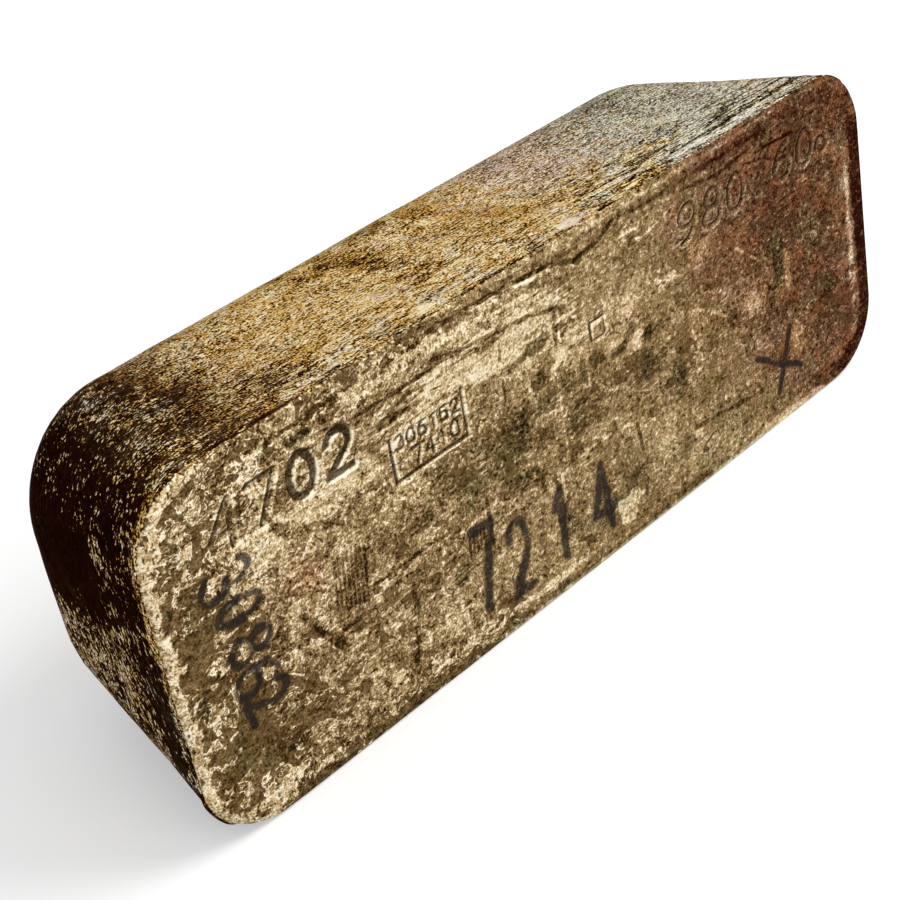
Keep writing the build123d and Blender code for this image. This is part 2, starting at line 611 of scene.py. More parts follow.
def distance_to(path):
    """Distance from every point of the poured face to the nearest of a path's straight steps."""
    start, step = path[:-1], np.diff(path, axis=0)
    from_x, from_y = seen_x[:, None] - start[:, 0], seen_y[:, None] - start[:, 1]
    share = np.clip((from_x * step[:, 0] + from_y * step[:, 1]) / (step**2).sum(1), 0, 1)
    return np.hypot(from_x - share * step[:, 0], from_y - share * step[:, 1]).min(1)


def turned(points, angle):
    """Points turned about the origin by an angle in degrees."""
    c, s = cos(radians(angle)), sin(radians(angle))
    return points @ np.array([[c, s], [-s, c]])


def numeral_distance(text, left, foot, wide, tall, pitch, turn=0.0, hand=0.0, seed=1):
    """Distance to the nearest stroke of a row of numerals, with hand as the share of random wobble."""
    chance = np.random.default_rng(seed)
    nearest = np.full(x.shape, 99.0)
    for place, character in enumerate(text):
        stretch = 1 + hand * chance.uniform(-1, 1, 2)
        tilt = 60 * hand * chance.uniform(-1, 1)
        shift = (place * pitch, 0) + hand * pitch * chance.uniform(-1, 1, 2)
        for path in NUMERALS[character]:
            local = turned(path * (wide, tall) * stretch, tilt) + shift
            nearest = np.minimum(nearest, distance_to(turned(local, turn) + (left, foot)))
    return nearest


print("numerals:", "".join(NUMERALS))

# %% Strike the stamps
def groove(distance, half_width, wall):
    """1 in a groove's flat floor, falling to 0 over its wall."""
    return ease(half_width, half_width - wall, distance) * on_face


# Left, foot, width, height and pitch of the two rows of large numerals
NUMBER_PLACE = (-138, 30.5, 9.5, 13.5, 13.7)
WEIGHT_PLACE = (58, 31, 9, 13, 12.8)
FRAME = ((-73.6, 30), (-73.6, 16), (-44, 16.4), (-44, 32))
SQUARE = ((12.5, 25.4), (19.2, 25.4), (19.2, 19.2), (12.5, 19.2), (12.5, 25.4))
RING_X, RING_Y, RING_RADIUS = 136, 35, 2.6
STAMP_DEPTH = 0.9

# A step away from the light: the stamps moved by it tell a groove's lit wall from its shaded one
ASIDE = (0.8, -0.7)


def struck(shift_x, shift_y):
    """How deep every stamp goes, from 0 to 1, with all of them moved aside by this much."""
    def numbers(text, left, foot, *sizes):
        return numeral_distance(text, left + shift_x, foot + shift_y, *sizes)

    def line(*ends):
        return distance_to(strokes(*ends) + (shift_x, shift_y))

    deep = groove(numbers("4702", *NUMBER_PLACE), 1.6, 0.8) * (0.55 + 0.45 * struck_deep)
    framing = groove(line(*FRAME), 0.8, 0.5)
    small = groove(numbers("306152", -71.5, 25.4, 3.4, 4.4, 4.5), 0.6, 0.4)
    small = np.maximum(small, groove(numbers("7410", -66, 18.4, 3.8, 5, 5.2), 0.6, 0.4))
    square = groove(line(*SQUARE), 0.7, 0.45)
    weight = groove(numbers("980.60", *WEIGHT_PLACE), 1.2, 0.6)
    from_ring = np.abs(np.hypot(seen_x - RING_X - shift_x, seen_y - RING_Y - shift_y) - RING_RADIUS)
    faint = np.maximum(weight, groove(from_ring, 1.0, 0.6))
    return np.max([deep, 0.9 * framing, 0.8 * small, 0.5 * square, 0.5 * faint], axis=0)


def pushed_up(distance, half_width):
    """1 on the thin burr beside a groove of this half width."""
    outer = ease(half_width + 0.9, half_width + 0.3, distance)
    return outer * ease(half_width - 0.5, half_width, distance) * on_face


struck_deep = ease(-113, -108, seen_x)
stamped = struck(0, 0)
stamped_aside = struck(*ASIDE)
height -= STAMP_DEPTH * stamped
# The burrs beside the weight and the number are not raised in the mesh; they are a painted highlight only.
weight_burr_highlight = pushed_up(numeral_distance("980.60", *WEIGHT_PLACE), 1.1)
number_burr_highlight = pushed_up(numeral_distance("47", *NUMBER_PLACE), 1.5)
# The stamps are struck again a step aside: a wall that this moves gets a painted highlight or painted
# shade, and groove floors are darkened too.
lit_wall = np.clip(stamped_aside - stamped, 0, 1)
lit_wall = np.max([lit_wall, 0.42 * weight_burr_highlight, 0.5 * number_burr_highlight], axis=0)
painted_shaded_wall = np.clip(stamped - stamped_aside, 0, 1)
dark_cut = np.clip(1.5 * painted_shaded_wall + 0.75 * stamped * ease(0.5, 0.8, stamped) + 0.6 * stamped, 0, 1)
print("deepest stamp", (STAMP_DEPTH * stamped.max()).round(2), "mm")

# %% Wax pencil
cross = np.minimum(
    distance_to(strokes((91, -26), (101, -32.5), (114, -39))),
    distance_to(strokes((111, -23), (106.5, -31), (99.4, -43))),
)
side_number = numeral_distance("30862", -145, 25, 7.0, 16, 10.6, -86, 0.12, 5)
large_number = numeral_distance("7214", -55, -42, 9.0, 23, 18.5, -3, 0.14, 8)
ink = ease(2.4, 0.2, cross)
ink = np.maximum(ink, 0.9 * ease(2.4, 0.2, side_number))
ink = np.maximum(ink, 0.9 * ease(3.2, 0.4, large_number))
ink *= on_face
inked_share = float((ink > 0.5).sum() / on_face.sum())
print("pencil covers", round(100 * inked_share, 1), "percent of the face's points")

# %% [markdown]
# ## Where the toning lies
# The lightness of the metal is one level over the whole skin. On the poured face two layers lie on it: a
# dark film that has flaked off in places, and a pale bloom that gathers on the upper left and along the
# edges. The left end is dark, partly from dark toning and partly from painted shade, and painted glints
# stand out on it instead. Dark and pale cells and straight scars are listed one by one, by place and size.
# More fields say where the tone turns red-brown, tan, olive, mauve or sage. Some fields are painted light
# and
# shade: the walls of the stamps, the crest on the right, the slumped lip past it and glints along edges.
# A painted picture could hold all this, but it would be tied to one size and one unwrapping. So these are
# soft shapes worked out at the points and kept as attributes; the shader breaks them up with fine noise.

# %% Shapes for soft places, cells and scars
def washes(places):
    """Soft ellipses on the poured face added up, each (x, y, half length, half height, amount)."""
    total = np.zeros_like(x)
    for middle_x, middle_y, long, tall, amount in places:
        total += amount * np.exp(-(((seen_x - middle_x) / long) ** 2) - ((seen_y - middle_y) / tall) ** 2)
    return total


def cells(places):
    """Square-shouldered patches with ragged edges, each (x, y, half length, half height, tilt, amount)."""
    total = np.zeros_like(x)
    ragged = 0.4 * waves(x / 5, y / 5, 63, 3)
    for middle_x, middle_y, long, tall, tilt, amount in places:
        c, s = cos(radians(tilt)), sin(radians(tilt))
        along = ((seen_x - middle_x) * c + (seen_y - middle_y) * s) / long
        across = ((seen_y - middle_y) * c - (seen_x - middle_x) * s) / tall
        total += amount * ease(1.2, 0.85, (along**4 + across**4) ** 0.25 + ragged) * on_face
    return total


def scars(places):
    """Straight scars, each (x, y, end x, end y, half width): 1 on the line, a half at its edge, then 0."""
    deepest = np.zeros_like(x)
    broken = 0.62 + 0.38 * ease(-0.4, 0.1, waves(x / 3, y / 3, 67, 2))
    for x0, y0, x1, y1, half_width in places:
        distance = distance_to(strokes((x0, y0), (x1, y1)))
        deepest = np.maximum(deepest, np.clip(1 - 0.5 * distance / half_width, 0, 1))
    return deepest * broken * on_face


def bell(value, middle, width):
    """1 where a value meets the middle, falling off on both sides as the normal curve does."""
    return np.exp(-(((value - middle) / width) ** 2))


print("soft shapes are worked out at", len(x), "points")

# %% Scars
DARK_SCARS = [
    (-116, -3, -110, -12, 1.3), (-110, -12, -104, -22, 1.6), (-90, -8.7, -62, -8.4, 0.7),
    (-62, -8.4, -60, -16, 0.8), (-104, -15.7, -91, -15.4, 0.7), (-78, -30, -80, -37, 1.0),
    (-80, -37, -86, -45, 1.0), (-132, -37.7, -124, -37.4, 0.8), (-95, -39, -92, -44, 0.7),
    (-104, 43.6, -88, 44.3, 0.6), (-88, 44.3, -54, 43.6, 0.7), (-54, 46.4, -39, 43.5, 0.7),
    (-39, 43.5, -16, 41, 0.8), (-16, 41, -3, 37.7, 0.8), (-2.6, 36, -2.9, 24, 1.1),
    (-27, 38, -27.4, 33, 0.8), (-27, 25, -27.6, 19, 0.8), (-20, 54, -3, 52.2, 0.8),
    (-3, 52.2, 8, 49.3, 1.0), (8, 49.3, 20, 51, 1.0), (20, 51, 27, 54, 0.8), (-42, -7, -42.4, -25, 0.8),
    (27.5, -17, 28.5, -28, 0.8), (54, -33.5, 92, -38, 0.7), (-54, 55, -22, 54.2, 0.8),
    (60, 50, 78, 47.5, 0.8), (78, 47.5, 96, 49.5, 0.8), (100, 47, 118, 46, 0.7),
    (-120, 34, -117, 24, 0.8), (-118, 27.5, -114, 25, 1.2), (-72, 36, -66, 37, 0.8),
    (-66, 37, -62, 33, 0.6),
]
LIGHT_SCARS = [
    (-113, -2.5, -103, -18, 0.7), (-43, -10.5, -20, -15.5, 0.8), (-54, -12, -43, -10.6, 0.8),
    (-4.7, 8, -5.4, -16, 0.8), (-9, -16, -9.5, -25.5, 0.7), (9.3, 15, 8.8, 6, 0.8),
    (-18, 7.5, -6, 4.6, 0.7), (-0.9, 36, -1.2, 24, 0.8), (0, -15, 12, -14.6, 0.6),
    (12, -14.6, 28, -17, 0.7), (54, -31, 84, -31.4, 0.7), (62, 7, 78, -3, 0.9), (66, 11, 82, 4, 0.7),
    (30, 46, 38, 42.5, 0.6), (38, 42.5, 48, 44.2, 0.6), (43, 51, 56, 49.8, 0.8),
    (-20, 52.5, 0, 50, 0.7), (38.5, 38, 40, 34, 0.5), (86, 18, 98, 8, 0.8), (-120, 7, -104, 20, 0.6),
    (60, 0, 63, -12, 0.8), (-85, 12, -62, 10, 0.6), (-90, -12, -72, -10.5, 0.8),
    (-100, -20, -84, -26, 0.6), (-84, -12.5, -62, -11, 0.6), (-108, -33, -88, -36, 0.8),
    (90, 40, 94, 35, 0.5), (46, 24, 58, 21, 0.8),
]
TEETH = [(-116 + 1.95 * k, 24.6 - 0.68 * k, -115 + 1.95 * k, 22.4 - 0.68 * k, 0.75) for k in range(11)]
HATCH = [(-101.5 + 1.6 * k, 8 - 0.5 * k, -104 + 1.6 * k, -9 - 0.5 * k, 0.6) for k in range(8)]
SHORT_HATCH = [(-51.5 + 1.6 * k, -15, -52.3 + 1.6 * k, -22, 0.6) for k in range(5)]
IN_ROWS = TEETH + HATCH + SHORT_HATCH
dark_scar = scars(DARK_SCARS + IN_ROWS)
light_scar = scars(LIGHT_SCARS)
print("scars:", len(DARK_SCARS), "dark,", len(LIGHT_SCARS), "light,", len(IN_ROWS), "in rows")

# %% Places of bloom, film, tints and cells
BLOOM = [
    (-40, 36, 30, 7, 0.24), (-48, 51, 38, 4, 0.18), (-6, 38, 20, 8, 0.18), (-122, 22, 11, 7, 0.20),
    (-94, 28, 26, 6, 0.18), (-94, 14, 18, 8, 0.08), (-151, 36, 7, 14, 0.10), (14, 25, 40, 7, 0.16),
    (22, 14, 6, 3, 0.10), (33, 10, 4, 3, 0.18), (-38, -49, 32, 2.4, 0.20), (40, -26, 10, 6, 0.10),
    (30, 46, 20, 4, 0.10), (-140, -46, 16, 8, 0.12), (-96, -44, 30, 6, 0.08), (-70, -36, 24, 8, 0.04),
    (-108, 42, 20, 9, 0.14), (46, -38, 22, 6, 0.06), (66, -24, 14, 8, 0.06), (100, -54, 34, 3, 0.5),
    (-14, 45, 16, 7, 0.08), (-12, 22, 14, 8, 0.10), (42, 22, 14, 8, 0.06),
]
FILM = [
    (-136, 38, 11, 12, 0.06), (-112, 50, 28, 3, 0.06), (-150, 10, 7, 38, 0.16), (-140, -28, 16, 14, 0.16),
    (-136, -4, 10, 14, 0.12), (-106, -30, 24, 9, 0.12), (-88, -52.5, 34, 3, 0.26), (-40, 8, 24, 12, 0.10),
    (2, 2, 18, 10, 0.08), (36, 2, 24, 10, 0.06), (46, -12, 20, 10, 0.08), (14, -34, 16, 10, 0.10),
    (-76, -18, 22, 12, 0.05), (116, 24, 20, 30, 0.12), (134, -24, 14, 16, 0.16), (128, 44, 16, 9, 0.14),
]
TAN = [
    (70, 27, 11, 7, 0.07), (95, -5, 8, 4, 0.07), (115, -29, 5, 8, 0.10), (72, 0, 16, 7, 0.05),
    (60, -16, 12, 5, 0.04), (112, 0, 3, 8, 0.05), (24, 20, 20, 4, 0.06),
]
DULL = [
    (124, 44, 26, 14, 0.05), (94, 12, 14, 12, 0.04), (0, -14, 60, 22, 0.03), (72, 12, 22, 24, 0.06),
    (40, 44, 20, 10, 0.03), (114, 16, 24, 36, 0.04), (96, -16, 14, 20, -0.04),
]
CHATTER = [(16, 2, 46, 18, 1.0), (70, -6, 40, 26, 0.7), (-40, -6, 34, 22, 0.7), (110, 6, 26, 40, 0.5)]
STREAKS = [(-30, 42, 70, 14, 1.0), (-20, -49, 60, 4, 0.8), (-66, 0, 40, 26, 0.45)]
OLIVE = [
    (-38, 3, 20, 14, 0.4), (14, -36, 26, 9, 0.7), (107, 2, 5, 9, 0.6), (74, -43, 34, 9, 0.5),
    (126, 8, 9, 22, 0.4), (96, 30, 16, 14, 0.3), (50, -12, 6, 10, 0.4), (-146, -10, 10, 40, 0.4),
]
DARK_CELLS = [
    (-106, 49, 4.2, 1.8, 0, 0.24), (-117.5, 49, 1.8, 1.4, 0, 0.2), (-151, 38, 2, 3, 0, 0.25),
    (-157, 24, 1.8, 3, 0, 0.22), (-154.5, -7.5, 1.4, 3, 0, 0.22), (-150, 17, 4, 10, 0, 0.12),
    (-132, -33, 9, 7, 0, 0.14), (-102, -46, 2.4, 1.8, 0, 0.22), (-57, -25, 3.4, 2.8, 20, 0.26),
    (-76.5, -25, 1.8, 1.8, 0, 0.26), (-66, 0, 2.8, 2.6, 0, 0.18), (-57, 8, 4, 6, 0, 0.12),
    (-40, 2, 7, 8, 0, 0.08), (-26, 7, 6, 8, 0, 0.14), (-24.5, -11.5, 6.5, 4, -6, 0.16),
    (-12, 9, 6, 3, -10, 0.14), (-13, 0, 6, 3.6, 0, 0.12), (-11, 30, 5, 2.2, 15, 0.2),
    (-20, 28, 4, 1.2, 8, 0.18), (-11.5, 19, 1.6, 1.8, 0, 0.3), (-2.5, 37.7, 3, 1.0, -20, 0.24),
    (0.5, 11.5, 3.4, 3.4, 15, 0.2), (7, 11.3, 2.6, 4, -10, 0.22), (13.2, 13, 3.2, 2.8, 15, 0.2),
    (23.5, 10.5, 3.4, 1.3, 5, 0.26), (30.6, 14.6, 2.8, 2.8, -20, 0.2), (39.3, 10.4, 3.2, 2.2, 5, 0.3),
    (46.5, 8.6, 3.2, 2.8, -10, 0.16), (1.5, -1.5, 4.2, 5.2, -8, 0.18), (34, -1, 4.8, 5.6, -10, 0.16),
    (42, -3, 3.2, 2.8, 0, 0.14), (50.5, -11.5, 3, 6.5, -10, 0.16), (-11, -33.5, 4.6, 4.2, 0, 0.14),
    (20, -36, 6, 5, 0, 0.08), (50, -36.5, 5, 4, 0, 0.10), (107.5, 2.5, 3.2, 7.5, 0, 0.14),
    (121.5, 20.8, 2.8, 2, 0, 0.14), (134, -18.5, 5.5, 6.5, 0, 0.12), (72, 11, 6, 2, 0, 0.10),
    (66, 16, 4, 2, 0, 0.10),
]
PALE_CELLS = [
    (-124.5, 24, 6, 4, 0, 0.16), (-94, 26, 16, 4.5, 4, 0.08), (-46.5, 48.5, 8, 2.4, -6, 0.18),
    (-37, 34, 17, 2.8, -6, 0.18), (-31, 30.5, 10, 2.2, -8, 0.14), (33, 10.5, 1.8, 3.4, -15, 0.24),
    (22.5, 13.2, 3.4, 1.2, 0, 0.18), (40, -27, 6.5, 4.5, -10, 0.10), (113, -2.3, 2.0, 7.5, 0, 0.10),
    (94.5, -6, 5.6, 2.8, 0, 0.08), (114.5, -29, 3.8, 6.5, 0, 0.10), (70.5, 25.5, 8, 4.5, 5, 0.04),
]
print("soft places:", len(BLOOM + FILM + TAN + DULL + OLIVE), " cells:", len(DARK_CELLS + PALE_CELLS))

# %% Cells, edges and crust of the poured face
dark_cells, pale_cells = cells(DARK_CELLS), cells(PALE_CELLS)
left_crust = ease(8, 3, rim) * ease(-125, -152, x)
left_edge = bell(rim, 2.0 + 0.8 * waves(x / 7, y / 7, 79, 2), 1.2) * ease(-122, -146, x)
left_edge *= 0.6 + 0.4 * ease(14, -10, y)
# A painted highlight runs along the crest on the right, and the slope before it is painted a little
# lighter.
crest_highlight = bell(rim, CREST + 0.6 + 0.9 * waves(x / 4, y / 8, 83, 2), 1.4) * ease(125, 148, x)
crest_highlight *= ease(40, 12, np.abs(y + 8)) * (0.65 + 0.35 * ease(-0.3, 0.3, waves(x / 2, y / 5, 85, 2)))
crest_slope_light = ease(24, 12, rim) * ease(8.5, 11, rim) * ease(118, 140, x) * ease(50, 24, np.abs(y - 8))
lower_rim = ease(4.0, 2.4, rim) * ease(-30, -50, y)
flake = np.maximum(np.abs(x - 18.2) / 5.0, np.abs(y + 45.6) / 4.2) + 0.5 * waves(x / 6, y / 6, 59, 2)
chip = ease(1.1, 0.9, flake) * on_face
fold = waves(x / 16, y / 9, 75, 2)
pale_line = bell(rim, 2.2 + 0.5 * fold, 0.75) * ease(44, 52, y) * ease(-30, 40, x)
pale_line *= ease(150, 130, x) * (0.45 + 0.55 * ease(-0.4, 0.1, waves(x / 9, y / 9, 89, 2)))
# Painted shade darkens the band inside the upper rim on the right, where the light catches it.
upper_rim_shade = ease(11, 5, rim) * ease(38, 47, y) * ease(36, 64, x)
inner_line = bell(rim, 5.8 + 0.9 * fold, 0.9) * ease(42, 50, y) * ease(-0.5, 0.2, fold)
# The slumped lip past the crest faces away from the light; its darkness is painted shade.
lip_edge = CREST - 2.2 + 1.2 * waves(x / 6, y / 6, 81, 2)
slumped_lip_shade = ease(0.7, -0.7, rim - lip_edge) * ease(116, 148, x) * ease(44, 30, y)
lower_lip = ease(3.6, 2.6, rim + 0.5 * fold) * ease(-40, -52, y) * ease(104, 80, x)
# A thin painted highlight runs along the lower rim.
lower_glint = ease(1.5, 1.0, rim + 0.3 * fold) * ease(-40, -52, y) * on_face
crusty = 0.45 * ease(-30, -70, x) + 0.55 * ease(-105, -130, x) + 0.4 * ease(16, 6, rim) * ease(0, -60, x)
crusty = np.clip(crusty + washes([(-20, 44, 50, 10, 0.5), (-30, -46, 50, 8, 0.5)]), 0.12, 1)
print("crust lies thick on", int((crusty[on_face] > 0.5).sum()), "points of the face")

# %% Lightness of the poured face
bloom = washes(BLOOM) - 0.20 + 0.09 * crusty + 0.10 * left_crust + 0.35 * left_edge + 0.7 * chip
bloom -= 0.3 * slumped_lip_shade + 0.2 * lower_lip + 0.06 * ease(40, 80, x) + 0.8 * dark_cells
film = washes(FILM) - 0.15 + 0.08 * crusty + 0.12 * ease(10, 3, rim) * ease(-100, -140, x)
film -= 0.3 * chip + 0.2 * left_edge + 0.6 * pale_cells
face_level = 0.47 + 0.45 * washes(BLOOM) - 0.3 * washes(FILM) + washes(TAN) - dark_cells + pale_cells
face_level += 0.52 * crest_highlight + 0.07 * crest_slope_light + 0.08 * lower_rim + 0.34 * pale_line
face_level += 0.4 * lower_glint + 0.1 * chip - 0.06 * upper_rim_shade
face_level -= 0.3 * inner_line + 0.34 * slumped_lip_shade + 0.22 * lower_lip
rust = ease(46, 118, x + 0.45 * y + 11 * waves(x / 26, y / 26, 61))
face_level -= 0.07 * rust + 0.06 * ease(84, 112, x) + washes(DULL)
chatter = np.clip(washes(CHATTER), 0.15, 1)
streaky = np.clip(washes(STREAKS), 0.12, 1)
tan_share = washes([(u, v, 1.3 * long, 1.3 * tall, 6 * amount) for u, v, long, tall, amount in TAN])
tan_share += 0.2 * chatter + 0.35 * ease(0.2, 0.8, light_scar) + 3 * pale_cells * ease(-10, 30, x)
tan_share += washes([(-113, 8, 12, 12, 0.6), (-100, -16, 20, 12, 0.25), (-70, 6, 20, 14, 0.2)])
olive_share = washes(OLIVE) + 3.5 * dark_cells + 0.7 * lower_lip
vein = np.maximum(ease(-84, -128, x), 0.9 * ease(14, 6, rim) * ease(-20, -44, y) * ease(40, 0, x))
vein = np.maximum(vein, 0.3) * (1 - 0.8 * slumped_lip_shade)
face_contrast = 0.95 + 0.3 * ease(30, -70, x) + 0.1 * ease(60, 110, x)
for name, amount in (("bloom", bloom), ("film", film), ("level", face_level)):
    print("poured face's", name, amount[on_face].min().round(2), "to", amount[on_face].max().round(2))

# %% Streaks and ledges of the sides
def from_line(start, end):
    """Distance on the upper side, x by depth, from a straight line between two points."""
    (x0, d0), (x1, d1) = start, end
    share = ((x - x0) * (x1 - x0) + (depth - d0) * (d1 - d0)) / ((x1 - x0) ** 2 + (d1 - d0) ** 2)
    share = np.clip(share, 0, 1)
    return np.hypot(x - x0 - share * (x1 - x0), depth - d0 - share * (d1 - d0))


def ledge(at_depth, half_height, seed):
    """A wavy line along the upper side at this depth, broken in places."""
    wander = waves(x / 30, depth / 60, seed, 3)
    broken = ease(-0.5, 0.1, waves(x / 20, depth / 40, seed + 7, 2))
    return bell(depth, at_depth + 1.2 * wander, half_height) * broken


# Darker towards the left end of the upper side: partly dark toning, partly painted shade.
shade_edge = ease(-78, -126, x + 12 * waves(x / 22, depth / 18, 71))
dark_streak = ease(5.0, 1.2, from_line((-36, 60), (-23, 26)) + 1.5 * waves(x / 4, depth / 4, 73, 2))
orange_streak = ease(6.0, 2.0, from_line((4, 64), (17, 26)) + 1.5 * waves(x / 4, depth / 4, 77, 2))
moss = ease(0.0, 0.3, waves(x / 6, depth / 4, 87, 3)) * ease(30, 42, depth) * ease(36, 20, np.abs(x + 24))
front_band = ease(3.2, 1.2, depth) + (0.7 + 1.0 * ease(30, 60, x)) * ledge(6.4, 0.9, 131)
front_band += 0.8 * ledge(13.5, 0.6, 151) + 0.8 * ledge(20, 0.7, 171) + 0.7 * ledge(27, 0.7, 191)
front_band += (0.8 * ledge(23.5, 0.6, 231) + 0.8 * ledge(31, 0.7, 251)) * ease(-10, 20, x) * ease(90, 70, x)
# Painted highlights: two bright spots and a pale ledge line near the front edge of the upper side.
front_glint = ease(3.2, 2.0, np.hypot((x - 14) / 1.7, depth - 4.6) + waves(x / 4, depth / 4, 57, 2))
front_glint += ease(3.0, 1.5, np.hypot((x + 47) / 2, depth - 5))
front_glint += 0.7 * ledge(4.6, 0.7, 211) * ease(30, 50, x)
print("glints on", int((front_glint > 0.5).sum()), "points")

# %% Lightness and flecks of the sides
side_level = 0.66 - 0.48 * shade_edge + 0.07 * ease(40, 26, depth)
side_level -= 0.04 * ease(20, 50, x) * ease(44, 54, depth) + 0.05 * ease(50, 74, x) * ease(10, 20, depth)
side_level -= (0.24 * dark_streak + 0.10 * orange_streak + 0.26 * moss) * upper_side
side_level += (0.5 * front_glint - 0.28 * front_band) * upper_side * ease(-130, -100, x)
end_edge = ease(5.4, 3.0, depth + waves(y / 8, depth / 8, 93, 2)) * ease(-24, -6, y)
# The left end is nearly black: partly dark toning, partly painted shade.
end_level = 0.10 + 0.05 * ease(24, -6, y) + 0.36 * end_edge
right_level = 0.22
under_level = 0.46 + 0.16 * waves(x / 36, depth / 26, 101, 3) - 0.2 * ease(-90, -135, x)
back_level = 0.46 + 0.18 * waves(x / 38, y / 26, 103, 3) - 0.3 * shade_edge - 0.1 * ease(90, 130, x)
for where, other_level in (
    (lower_side, under_level), (left_end, end_level), (right_end, right_level), (backed, back_level)
):
    side_level += where * (other_level - side_level)

maroon = ease(24, 40, depth) * ease(-4, 10, y) * ease(38, 30, y)
# Bright specks on the dark left end and the dark left of the upper side are painted glints; one spot on the
# end gathers a painted highlight.
end_glint = bell(depth, 27, 4) * bell(y, 32, 4)
end_painted_glint = -0.11 + 0.11 * ease(20, -4, y) - 0.16 * maroon + 0.22 * end_glint
end_painted_glint += 0.07 * waves(depth / 16, y / 9, 91, 2) - 0.13 * ease(24, 8, depth) * ease(14, -10, y)
NO_GLINTS = -0.6
fleck = NO_GLINTS + 0.56 * shade_edge
fleck += left_end * (end_painted_glint - fleck)
fleck += np.maximum(lower_side, backed) * (NO_GLINTS - fleck)
print("side level", side_level.min().round(2), "to", side_level.max().round(2))

# %% Tint of the sides
toned_over = np.maximum(upper_side, 0.9 * backed)
cloud = ease(-0.1, 0.5, waves(x / 34, y / 22 + depth / 40, 105, 3)) * np.maximum(backed, lower_side)
along = x + 24 * waves(x / 24, y / 15, 107, 3) * backed
mauve = 0.22 + 0.6 * bell(along, 46, 26) * ease(14, 36, depth) * toned_over + 0.5 * cloud
mauve += 0.3 * bell(x, -100, 18) * upper_side + 0.3 * ease(4, -10, y) * ease(24, 40, depth) * left_end
sage_edge = along + 0.2 * (depth - 30) + 16 * waves(x / 14, depth / 10, 83)
sage = 0.18 + 0.82 * ease(34, 96, sage_edge) * toned_over
sage += (0.14 * bell(x, -126, 18) + 0.3 * ease(18, 6, depth) * ease(-100, -80, x)) * upper_side
sage += 0.35 * ease(24, 10, depth) * ease(16, 0, y) * left_end
orange = 0.14 + 0.7 * orange_streak + 0.36 * bell(x, -55, 45) + 0.4 * bell(x, 14, 14)
orange *= np.maximum(toned_over, 0.6 * lower_side)
scored = ease(36, 20, depth) + 0.7 * ease(18, 12, depth) * ease(10, 40, x)
scored *= ease(-110, -90, x) * upper_side
level = side_level + (face_level - side_level) * poured
contrast = 1.0 + (face_contrast - 1.0) * poured
along_bar = 1 - np.maximum(left_end, right_end)
for name, amount in (("mauve", mauve), ("sage", sage), ("orange", orange)):
    print("share of", name, amount.min().round(2), "to", amount.max().round(2))

# %% [markdown]
# ## Make the mesh
# The heights move every point along its outward direction. The skin must not leave the CAD box, so what
# reaches past it is pressed flat, which is also how a bar meets the table.

# %% The skin
placed = base + outward * height[:, None]
placed = FACE_MIDDLE + direction(placed[:, 0], placed[:, 1], placed[:, 2])
placed = np.clip(placed, box_low, box_high) * MM

skin_mesh = bpy.data.meshes.new("ingot_skin")
skin_mesh.vertices.add(len(placed))
skin_mesh.vertices.foreach_set("co", placed.astype(np.float32).ravel())
corners = np.concatenate([quads.ravel(), triangles.ravel()]).astype(np.int32)
sizes = np.concatenate([np.full(len(quads), 4), np.full(len(triangles), 3)])
skin_mesh.loops.add(len(corners))
skin_mesh.loops.foreach_set("vertex_index", corners)
skin_mesh.polygons.add(len(sizes))
skin_mesh.polygons.foreach_set("loop_start", (np.cumsum(sizes) - sizes).astype(np.int32))
skin_mesh.polygons.foreach_set("use_smooth", np.ones(len(sizes), bool))
skin_mesh.update(calc_edges=True)

FIELDS = {
    "level": level, "contrast": contrast, "poured": poured, "bloom": bloom, "film": film, "vein": vein,
    "fleck": fleck, "rust": rust, "chatter": chatter, "streaky": streaky, "mauve": mauve, "sage": sage,
    "orange": orange, "scored": scored, "crusty": crusty, "tan": tan_share, "olive": olive_share,
    "dark_scar": dark_scar, "light_scar": light_scar, "lit_wall": lit_wall, "dark_cut": dark_cut,
    "ink": ink, "along_bar": along_bar,
}
for name, values in FIELDS.items():
    attribute = skin_mesh.attributes.new(name, "FLOAT", "POINT")
    attribute.data.foreach_set("value", values.astype(np.float32))

skin = into_scene("ingot_skin", skin_mesh)
print("skin valid:", not skin_mesh.validate(verbose=False), len(skin_mesh.polygons), "faces")

# %% [markdown]
# ## Toned silver
# Silver sulphide builds up in thin, patchy films, so one lightness decides most of the colour: dark umber,
# tan, cream. The level of a place plus several sizes of noise gives that lightness; film and bloom are cut
# out of noise by a threshold, which gives them their flaked edges. Ramps turn lightness into colour: plain,
# red-brown, tan and olive on the poured face, and gold, sage, mauve, pink and lime on the sides that lay
# against the mould.

# %% Patterns
toned = new_material("toned_silver")
object_place = Shade.node("ShaderNodeTexCoord", output=3)


def field(name):
    """One of the skin's own attributes."""
    return Shade.node("ShaderNodeAttribute", {"attribute_name": name}, output=2)


def placed_by(size, turn, shift):
    """Object coordinates measured in grains of this size in millimetres, after a turn."""
    scale = [length * MM for length in size]
    if any(turn):
        start = (shift, shift, shift)
        sockets = {"Vector": object_place, "Location": start, "Rotation": turn, "Scale": scale}
        return Shade.node("ShaderNodeMapping", {"vector_type": "TEXTURE"}, sockets)
    per_grain, start = [1 / grain for grain in scale], [-shift / grain for grain in scale]
    sockets = {0: object_place, 1: per_grain, 2: start}
    return Shade.node("ShaderNodeVectorMath", {"operation": "MULTIPLY_ADD"}, sockets)


def noise(size, detail=3.0, rough=0.5, turn=(0.0, 0.0, 0.0), shift=0.0, bend=0.0):
    """Noise about zero whose grains measure size millimetres along x, y and z, after a turn."""
    sockets = {
        "Vector": placed_by(size, turn, shift), "Scale": 1.0, "Detail": detail, "Roughness": rough,
        "Distortion": bend,
    }
    return Shade.node("ShaderNodeTexNoise", sockets=sockets) - 0.5


